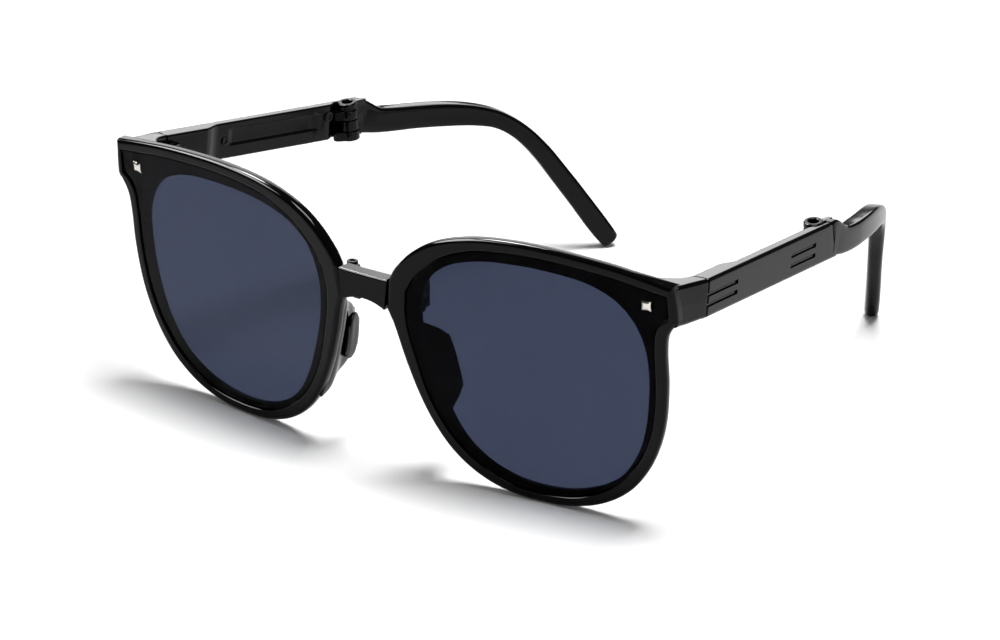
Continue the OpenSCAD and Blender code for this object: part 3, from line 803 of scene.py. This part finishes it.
def domed(end, before):
    """Stations that close a blade with a round end."""
    step = (end[0] - before[0]).normalized() * end[3]
    closing = [[end[0] + step * s, end[1], end[2], end[3] * c, end[4] - end[3] * (1 - c), end[5]]
               for c, s in quarter(6)[1:]]
    closing[-1][3:5] = (0.0, 0.0)
    return closing


def blade(rows, material, count=28, points=40):
    """Closed blade through rows of across, depth, height, half height, half width and tilt."""
    stations = []
    for u, d, v, half, w, tilt in smooth(rows, count):
        a = radians(tilt)
        across = front_vector(cos(a), 0, -sin(a))
        up = front_vector(sin(a), 0, cos(a))
        stations.append([front_point(u, d, v), across, up, w, half, 0.86])
    start = domed(stations[0], stations[1])[::-1]
    return swept(start + stations + domed(stations[-1], stations[-2]), material, points)


def pad_fin(material):
    """Fin behind the rim that carries the nose pad."""
    b = FIN_START
    return blade([(11.9, b, 23.2, 13.6, 0.9, -20), (12.3, b + 2.2, 23.4, 12.4, 1.0, -19),
                  (13.5, b + 4.5, 23.6, 10, 1.0, -17), (14.5, b + 7.4, 23.2, 7.8, 0.95, -14),
                  (15, b + 8.8, 23, 6.2, 0.6, -13)], material)


class SUNGLASSES_OT_rims(bpy.types.Operator):
    """Both rims with their corners, fins and hinge rings"""
    bl_idname = "sunglasses.rims"
    bl_label = "Rims"

    def execute(self, context):
        hinge = sizes_of("hinges")
        black = finish_named("frame")
        for side, sign in SIDES:
            parts = [rim_ring(sizes_of("rims")), end_piece(), pad_fin(black)]
            # two rings of the bridge hinge, each on its tab
            tab = [(0.8, -0.9), (5.6, -0.9), (5.6, 0.9), (0.8, 0.9)]
            low = BRIDGE_Z + BRIDGE_STEP
            parts.append(rings((*BRIDGE_AXIS, low), BRIDGE_RING, hinge.bridge_barrel, black, edge=hinge.edge,
                               count=2, pitch=2 * BRIDGE_STEP))
            for k in (0, 2):
                turn = upright(BRIDGE_AXIS, low + k * BRIDGE_STEP, -60)
                parts.append(block(tab, 0, BRIDGE_RING, hinge.edge, turn))
            # two knuckles of the temple hinge, each on its foot
            foot = [(-1.5, -4.6), (1.3, -4.6), (1.3, -0.9), (-1.5, -0.9)]
            for k, height in ((0, KNUCKLE_H), (2, KNUCKLE_H - KNUCKLE_CUT)):
                low = KNUCKLE_Z + k * (KNUCKLE_H + RING_GAP)
                parts.append(rings((*FRONT_AXIS, low), height, hinge.barrel - 0.25, black, edge=hinge.edge))
                parts.append(block(foot, 0, height, hinge.edge, upright(FRONT_AXIS, low)))
            finish_piece(side + "_rim_look", parts, black, side + "_front", sign)
        return {"FINISHED"}


class SUNGLASSES_OT_panels(bpy.types.Operator):
    """Both tinted lens panels"""
    bl_idname = "sunglasses.panels"
    bl_label = "Lens panels"

    def execute(self, context):
        sizes = sizes_of("rims")
        sink = sizes.sink
        seat = sink + sizes.panel
        lens = closed_line(LENS)
        # how far each loop lies inside the groove, and its depth
        rows = ((0.45, sink), (0.16, sink), (0.06, sink + 0.03), (0.0, sink + 0.12), (0.0, seat - 0.1),
                (0.05, seat - 0.05))
        clear = finish_named("lens")
        for side, sign in SIDES:
            loops = []
            for amount, d in rows:
                loops.append([front_point(p.x, d, p.y) for p in inset(lens, sizes.groove + amount)])
            finish_piece(side + "_lens_look", [loft(loops)], clear, side + "_front", sign)
        return {"FINISHED"}


def star(scale, height):
    """Square loop with hollow sides, on its back in the plane of the front."""
    points = []
    for k in range(4):
        a = pi / 2 * k
        for i in range(6):
            t = i / 3 - 1
            x = RIVET_HALF * t * scale
            y = (RIVET_HALF - RIVET_HOLLOW * (1 - t * t)) * scale
            points.append(Vector((x * cos(a) + y * sin(a), -height, -x * sin(a) + y * cos(a))))
    return points


class SUNGLASSES_OT_rivets(bpy.types.Operator):
    """Bright square rivet in the outer corner of each lens panel"""
    bl_idname = "sunglasses.rivets"
    bl_label = "Rivets"

    def execute(self, context):
        bright = finish_named("rivet")
        u, v = RIVET_AT
        turn = Euler((0, 0, WRAP)).to_matrix().to_4x4() @ Euler((LEAN, 0, 0)).to_matrix().to_4x4()
        rows = ((0.96, -0.6), (1.0, 0.0), (0.97, 0.1), (0.62, 0.32), (0.3, 0.36), (0.02, 0.37))
        head = faced_out(loft([star(*row) for row in rows]), turn)
        shape = bpy.data.objects.new("rivet_shape", head)
        context.scene.collection.objects.link(shape)
        for side, sign in SIDES:
            guide = bpy.data.meshes.new("rivet_place")
            guide.from_pydata([tuple(front_point(u, 0.3, v))], [], [])
            made = grow(tree_named("rivet"), {"Rivet": shape, "Material": bright}, guide)
            shank = grow(tree_named("pin"), {"Start": front_point(u, 0.45, v), "End": front_point(u, 1.6, v),
                                             "Radius": 0.7, "Dome": 0.1, "Material": bright})
            finish_piece(side + "_rivet_look", [made, shank], bright, side + "_front", sign, 20)
        bpy.data.objects.remove(shape)
        return {"FINISHED"}


# Bridge

def bridge_bar():
    """Arched bar whose ends follow the slanted inner edges of the rims."""
    near = BAR_NEAR
    far = BAR_NEAR + BAR_DEPTH
    low = BAR_TOP - BAR_HEIGHT
    (u_low, v_low), (u_high, v_high) = RIM[3]
    # the front leans, so the foot of the nose edge lies this much lower than in its own plane
    drop = 0.4

    def end_at(y, z):
        u = u_low + (u_high - u_low) * (z - v_low + drop) / (v_high - v_low) - BAR_GAP
        flat = (y - Y_FRONT - u * sin(WRAP)) / cos(WRAP)
        return u * cos(WRAP) - flat * sin(WRAP)

    half = [0.2, 0.35, 0.5, 0.65, 0.8, 0.9, 0.96, 0.985, 1]
    loops = []
    for share in [-s for s in half[::-1]] + [0] + half:
        under = low + BAR_ARCH * (1 - min(1.0, (share * 0.92) ** 2))
        crown = BAR_TOP - 0.1 * (1 - share * share)
        soft = 0.12 if abs(share) == 1 else 0.0
        corners = [(near + 0.12 + soft, under + soft), (far - soft, under + soft), (far - soft, crown - soft),
                   (near + soft, crown - soft)]
        section = rounded(corners, [0.5, 0.6, 0.7, 0.55])
        loops.append([Vector((share * end_at(p.x, p.y), p.x - Y_MID, p.y)) for p in section])
    return loft(loops)


def bridge_leg(hinge, black):
    """Rings of one bridge hinge and the leg that holds them, on the left side."""
    barrel = hinge.bridge_barrel
    edge = hinge.edge
    cut = 0.6
    pitch = 2 * BRIDGE_STEP
    parts = [rings((*BRIDGE_AXIS, BRIDGE_Z + pitch), BRIDGE_RING, barrel, black, edge=edge,
                   count=2, pitch=pitch),
             rings((*BRIDGE_AXIS, BRIDGE_Z + cut), BRIDGE_RING - cut, barrel, black, edge=edge)]
    # outline, bottom and top of the block beside each ring
    square = [(-3.4, -1.0), (-0.8, -1.0), (-0.8, 1.0), (-3.4, 1.0)]
    hidden = [(-2.2, -1.1), (-0.8, -1.3), (-0.8, 0.6), (-2.2, -0.1)]
    for k, outline, low, high in ((0, square, cut, 1.0), (1, square, 0.0, 1.0), (2, hidden, -0.9, 0.6)):
        parts.append(block(outline, low, high, edge, upright(BRIDGE_AXIS, BRIDGE_Z + k * pitch)))
    # the leg itself runs from inside the bar to the rings
    x = BRIDGE_AXIS[0] - barrel
    y = BRIDGE_AXIS[1]
    start = BAR_NEAR + BAR_DEPTH - 1 - Y_MID
    leg = [(2.4, start), (4.8, start), (x - 0.2, y - 1.6), (x - 0.2, y + 1.0), (x - 1.8, y + 1.0),
           (x - 2.6, y - 0.6)]
    parts.append(block(leg, BRIDGE_Z + cut, BRIDGE_Z + 4.2, 0.3))
    return parts


class SUNGLASSES_OT_bridge(bpy.types.Operator):
    """Bridge bar with its arch and the legs that carry the hinge rings"""
    bl_idname = "sunglasses.bridge"
    bl_label = "Bridge"

    def execute(self, context):
        black = finish_named("frame")
        parts = [bridge_bar()]
        for _, sign in SIDES:
            legs = bridge_leg(sizes_of("hinges"), black)
            for leg in legs:
                leg.transform(Matrix.Diagonal((sign, 1, 1, 1)))
            parts += legs
        finish_piece("bridge_look", parts, black, "bridge")
        return {"FINISHED"}


# Temples

def temple_section(width, pocket, edge):
    """Section of the front half of a temple, outer side at x = 0, with its pocket on the inner side."""
    h = TEMPLE_H
    outline = rounded([(0, -h), (0, 0), (-width, 0), (-width, -h)], [edge, edge, 0.45, 0.45])
    # the pocket lies between the third corner and the fourth, each of six points
    third = 18
    upper = [(-width + pocket * share, -POCKET_TOP - drop) for share, drop in POCKET_SIDE]
    lower = [(-width + pocket * share, -POCKET_END + drop) for share, drop in POCKET_SIDE[::-1]]
    return outline[:third] + [Vector(p) for p in upper + lower] + outline[third:]


def temple_bar(edge, pocket):
    """Front half of a temple before its lines are engraved."""
    def loop(y, width, share, shrink, lean):
        points = []
        for p in temple_section(width, pocket * share, edge):
            x = p.x - shrink - 2 * shrink * p.x / width
            z = p.y - shrink - 2 * shrink * p.y / TEMPLE_H
            points.append(Vector((x, y + lean * (-1.5 - 3.0 * p.y / TEMPLE_H), z)))
        return points

    loops = [loop(*cut, 0.15 if cut is TEMPLE_CUTS[0] else 0.0, 0.0) for cut in TEMPLE_CUTS]
    # the skin ends in the leaning seam
    for y, shrink, lean in ((56.4, 0.0, 0.5), (HALF_LEN - 0.2, 0.0, 1.0), (HALF_LEN - 0.05, 0.04, 1.0),
                            (HALF_LEN, 0.14, 1.0)):
        loops.append(loop(y, SKIN, 0.0, shrink, lean))
    return faced_out(loft(loops))


class SUNGLASSES_OT_temple_fronts(bpy.types.Operator):
    """Front halves of the temples with engraved lines, pocket, bosses and hinge lugs"""
    bl_idname = "sunglasses.temple_fronts"
    bl_label = "Temple fronts"

    def execute(self, context):
        sizes = sizes_of("temples")
        hinge = sizes_of("hinges")
        black = finish_named("temple")
        knuckle = KNUCKLE_Z + KNUCKLE_H + RING_GAP
        for side, sign in SIDES:
            cuts = {"Lines": 2, "Drop": 2.2, "Top": -3.3, "Front start": -1.0, "Front end": 13.4,
                    "Rear start": HALF_LEN - 20.8, "Rear end": HALF_LEN - 8.9, "Half width": sizes.line,
                    "Lift": 0.12, "Material": black}
            parts = [grow(tree_named("engraving"), cuts, temple_bar(sizes.edge, sizes.pocket), TEMPLE_TURN)]
            # two lugs of the mid hinge
            lug = [(-0.66, -2.05), (0.0, -0.9), (1.75, -0.9), (1.75, -3.6), (0.7, -3.4)]
            for low, high in ((-4.3, -2.15), (0.75, 2.85)):
                parts.append(rings((0, 0, low), high - low, hinge.mid_barrel, black, MID_HOLE, hinge.edge,
                                   MID_TURN))
                parts.append(block(lug, low, high, 0.1, MID_TURN))
            # knuckle of the front hinge
            parts.append(rings((*FRONT_AXIS, knuckle), KNUCKLE_H, hinge.barrel, black, edge=hinge.edge))
            parts.append(block([(0.4, 0.9), (1.7, 0.9), (1.7, 5.0), (0.4, 5.0)], 0, KNUCKLE_H, hinge.edge,
                               upright(FRONT_AXIS, knuckle)))
            # moulded bosses on the inner side, each a rim round a stud
            for y, z, r in ((18.7, -4.15, 1.0), (HALF_LEN - 8.8, -2.65, 1.2)):
                place = Matrix.Translation((-TEMPLE_WALL - 0.3, y, z))
                turn = TEMPLE_TURN @ place @ Matrix.Rotation(pi / 2, 4, "Y")
                parts.append(rings((0, 0, 0), 0.7, r, black, r * 0.45, 0.12, turn))
                parts.append(rings((0, 0, 0.18), 0.5, r * 0.5, black, 0.02, 0.05, turn))
            finish_piece(side + "_temple_front_look", parts, black, side + "_temple", sign)
        return {"FINISHED"}


def eased(value, start, span):
    """Share of the way from start over a span, from nought to one."""
    return min(1.0, max(0.0, (value - start) / span))


def ear_hook(thick):
    """Stations of the rear arm, from its flat start in the leaning seam to its round tip."""
    dense = smooth(ARM, 84)
    track = []
    for depth, height, _ in dense:
        t = depth - ARM_FROM
        x = MID_AT.x + ARM_SIDE - ARM_SLOPE * t - ARM_BEND * t * t
        track.append(Vector((x, MID_AT.y + depth - ARM_PIN, height)))
    stations = []
    for i, (depth, _, tall) in enumerate(dense):
        if depth < ARM_FROM + 0.4:
            continue
        run = track[min(i + 1, len(track) - 1)] - track[max(i - 1, 0)]
        turn = atan(ARM_SLOPE + 2 * ARM_BEND * (depth - ARM_FROM))
        across = Vector((cos(turn), sin(turn), 0))
        up = across.cross(run.normalized()).normalized()
        late = eased(depth, 110, 17)
        late = late * late * (3 - 2 * late)
        wide = 3.0 + (thick - 3.0) * eased(depth, 75, 12) - 0.5 * late
        stations.append([track[i] - across * 0.9 * late, across, up, wide / 2, tall / 2 * (1 + 0.4 * late),
                         0.34 + 0.22 * late])
    lean = (TEMPLE_TURN.to_3x3() @ Vector((0, -0.36, 1))).normalized()
    across = TEMPLE_TURN.to_3x3() @ Vector((1, 0, 0))
    seam = TEMPLE_TURN @ Vector((-1.5, HALF_LEN + 0.3, -TEMPLE_H / 2))
    full = TEMPLE_H / 2 * 1.06
    start = [[seam, across, lean, 0.0, 0.0, 0.34]]
    for shift, wide, tall in ((0, 1.36, full - 0.14), (0.05, 1.45, full - 0.05), (0.2, 1.5, full)):
        start.append([seam + Vector((0, shift, 0)), across, lean, wide, tall, 0.3])
    end = stations[-1]
    step = (end[0] - stations[-2][0]).normalized() * 1.4
    tip = []
    for k, (c, s) in enumerate(quarter(8)[1:], 1):
        narrow = max(c, 0.0) ** 0.8
        tip.append([end[0] + step * (s - 0.3), end[1], end[2], end[3] * narrow, end[4] * narrow,
                    0.7 + 0.3 * k / 8])
    return start + stations[:-2] + tip


class SUNGLASSES_OT_ear_arms(bpy.types.Operator):
    """Rear arms with tongue, cap and curved ear hook"""
    bl_idname = "sunglasses.ear_arms"
    bl_label = "Ear arms"

    def execute(self, context):
        hinge = sizes_of("hinges")
        black = finish_named("temple")
        outer = hinge.mid_barrel - 0.05
        tongue = [(-1.98, 0.4), (-1.2, 0.1), (0.0, 0.8), (1.5, 0.8), (1.5, 5.2), (0.4, 5.2), (0.2, 2.9)]
        cover = [(MID_X - 0.2, MID_Y + 0.8), (MID_X + 1.5, MID_Y + 0.8), (MID_X + 1.5, MID_Y + 5.4),
                 (MID_X + 0.3, MID_Y + 5.4)]
        for side, sign in SIDES:
            parts = [swept(ear_hook(sizes_of("temples").arm), black, 48),
                     rings((0, 0, -1.9), 2.4, outer, black, MID_HOLE, hinge.edge, MID_TURN),
                     block(tongue, -1.9, 0.5, 0.12, MID_TURN),
                     # cap: a disc and the raised rim that dishes it
                     rings((0, 0, 3.1), 0.55, outer, black, 0.04, 0.12, MID_TURN),
                     rings((0, 0, 3.5), 1.1, outer, black, 1.15, 0.25, MID_TURN),
                     block(cover, -1.3, 0.15, 0.12, TEMPLE_TURN)]
            finish_piece(side + "_temple_rear_look", parts, black, side + "_ear_arm", sign)
        return {"FINISHED"}


class SUNGLASSES_OT_nose_pads(bpy.types.Operator):
    """Soft nose pads on the fins"""
    bl_idname = "sunglasses.nose_pads"
    bl_label = "Nose pads"

    def execute(self, context):
        soft = finish_named("pad")
        b = FIN_START
        rows = [(12.55, b + 5.2, 22.8, 3.6, 0.45, -15), (13.05, b + 6.2, 22.7, 5.2, 0.75, -15),
                (13.75, b + 7.8, 22.6, 5.9, 0.75, -13), (14.25, b + 9.2, 22.5, 5.2, 0.68, -12),
                (14.55, b + 10.1, 22.4, 3.8, 0.38, -12)]
        for side, sign in SIDES:
            finish_piece(side + "_nose_pad_look", [blade(rows, soft, 20)], soft, side + "_front", sign)
        return {"FINISHED"}


class SUNGLASSES_OT_pins(bpy.types.Operator):
    """Pins of the bridge hinges, the front hinges and the mid hinges"""
    bl_idname = "sunglasses.pins"
    bl_label = "Hinge pins"

    def execute(self, context):
        steel = finish_named("pin")
        radius = sizes_of("hinges").pin
        for side, sign in SIDES:
            # name, body, place, lower and upper end
            runs = (
                ("_bridge_pin", "bridge", upright(BRIDGE_AXIS, BRIDGE_Z), 0.65, 5.6),
                ("_hinge_screw", side + "_front", upright(FRONT_AXIS, KNUCKLE_Z), 0, TEMPLE_H - 3.1),
                ("_mid_pin", side + "_temple", MID_TURN, -3.9, 3.3))
            for name, body, place, low, high in runs:
                start = place @ Vector((0, 0, low))
                end = place @ Vector((0, 0, high))
                values = {"Start": start, "End": end, "Radius": radius, "Dome": 0.25, "Material": steel}
                pin = grow(tree_named("pin"), values)
                finish_piece(side + name + "_look", [pin], steel, body, sign)
        return {"FINISHED"}


# Stage

def floor_material():
    """Matt white floor that reads as white where it is seen, straight or through a panel."""
    t = Look("White floor")
    path = t.add("ShaderNodeLightPath").outputs
    seen = t.math("MAXIMUM", path["Is Camera Ray"], path["Is Transmission Ray"])
    return t.end("ShaderNodeBsdfDiffuse", {"Color": t.blend(seen, 0.72, 0.98)})


def studio_world():
    """White where the camera sees it, dim as light, and dimmer still in reflections."""
    world = bpy.data.worlds.new("Studio")
    world.use_nodes = True
    t = Nodes(world.node_tree)
    t.tree.nodes.clear()
    path = t.add("ShaderNodeLightPath").outputs
    dim = t.blend(path["Is Glossy Ray"], 0.24, 0.05)
    level = t.blend(path["Is Camera Ray"], dim, 1.0)
    sky = t.add("ShaderNodeBackground", {"Color": (1, 1, 1, 1), "Strength": level})
    t.add("ShaderNodeOutputWorld", {"Surface": sky.outputs["Background"]})
    return world


class SUNGLASSES_OT_stage(bpy.types.Operator):
    """White floor, soft studio light and the camera"""
    bl_idname = "sunglasses.stage"
    bl_label = "Stage"

    def execute(self, context):
        scene = context.scene
        floor_mesh = bpy.data.meshes.new("floor")
        s = 4.0
        floor_mesh.from_pydata([(-s, -s, 0), (s, -s, 0), (s, s, 0), (-s, s, 0)], [], [(0, 1, 2, 3)])
        floor_mesh.materials.append(floor_material())
        floor = bpy.data.objects.new("floor", floor_mesh)
        scene.collection.objects.link(floor)
        # name, place, height of the aim, width, height, power, whether it lights matt surfaces
        lamps = (
            ("Key", (0.12, 0.03, 1.05), 0.02, 0.45, 0.45, 14.8, True),
            ("Behind left", (-0.58, 0.74, 0.46), 0.04, 0.7, 0.64, 4.2, False),
            ("High left", (-0.54, 0.23, 0.85), 0.04, 0.2, 0.2, 13.0, False),
            ("Seat glint", (-0.68, -0.3, 0.7), 0.03, 0.8, 0.35, 26.0, False),
        )
        for name, at, aim, wide, tall, power, lights in lamps:
            lamp = bpy.data.lights.new(name, "AREA")
            lamp.shape = "RECTANGLE"
            lamp.size = wide
            lamp.size_y = tall
            lamp.energy = power
            holder = bpy.data.objects.new(name, lamp)
            holder.visible_diffuse = lights
            holder.visible_transmission = lights
            holder.location = at
            holder.rotation_euler = (Vector((0, 0, aim)) - Vector(at)).to_track_quat("-Z", "Y").to_euler()
            scene.collection.objects.link(holder)
        scene.world = studio_world()
        camera = bpy.data.cameras.new("Camera")
        camera.sensor_width = 36
        camera.lens = CAMERA_LENS
        camera.clip_start = 0.01
        holder = bpy.data.objects.new("Camera", camera)
        holder.location = CAMERA_AT
        holder.rotation_euler = [radians(a) for a in CAMERA_TURN]
        scene.collection.objects.link(holder)
        scene.camera = holder
        scene.view_settings.view_transform = "Standard"
        return {"FINISHED"}


STEPS = ("stage", "rims", "panels", "rivets", "bridge", "temple_fronts", "ear_arms", "nose_pads", "pins")


class SUNGLASSES_PT_panel(bpy.types.Panel):
    """Sizes, colours and steps of the sunglasses"""
    bl_idname = "SUNGLASSES_PT_panel"
    bl_label = "Folding sunglasses"
    bl_space_type = "VIEW_3D"
    bl_region_type = "UI"
    bl_category = "Sunglasses"

    def draw(self, context):
        for name, group in GROUPS.items():
            box = self.layout.box()
            for key in group.__annotations__:
                box.prop(getattr(context.scene, "sunglasses_" + name), key)
        for step in STEPS:
            self.layout.operator("sunglasses." + step)


CLASSES = (
    *GROUPS.values(),
    SUNGLASSES_OT_stage, SUNGLASSES_OT_rims, SUNGLASSES_OT_panels, SUNGLASSES_OT_rivets, SUNGLASSES_OT_bridge,
    SUNGLASSES_OT_temple_fronts, SUNGLASSES_OT_ear_arms, SUNGLASSES_OT_nose_pads, SUNGLASSES_OT_pins,
    SUNGLASSES_PT_panel,
)


def register():
    for c in CLASSES:
        bpy.utils.register_class(c)
    for name, group in GROUPS.items():
        setattr(bpy.types.Scene, "sunglasses_" + name, bpy.props.PointerProperty(type=group))


def unregister():
    for name in GROUPS:
        delattr(bpy.types.Scene, "sunglasses_" + name)
    for c in reversed(CLASSES):
        bpy.utils.unregister_class(c)


def main():
    register()
    for step in STEPS:
        getattr(bpy.ops.sunglasses, step)()


if __name__ == "__main__":
    main()
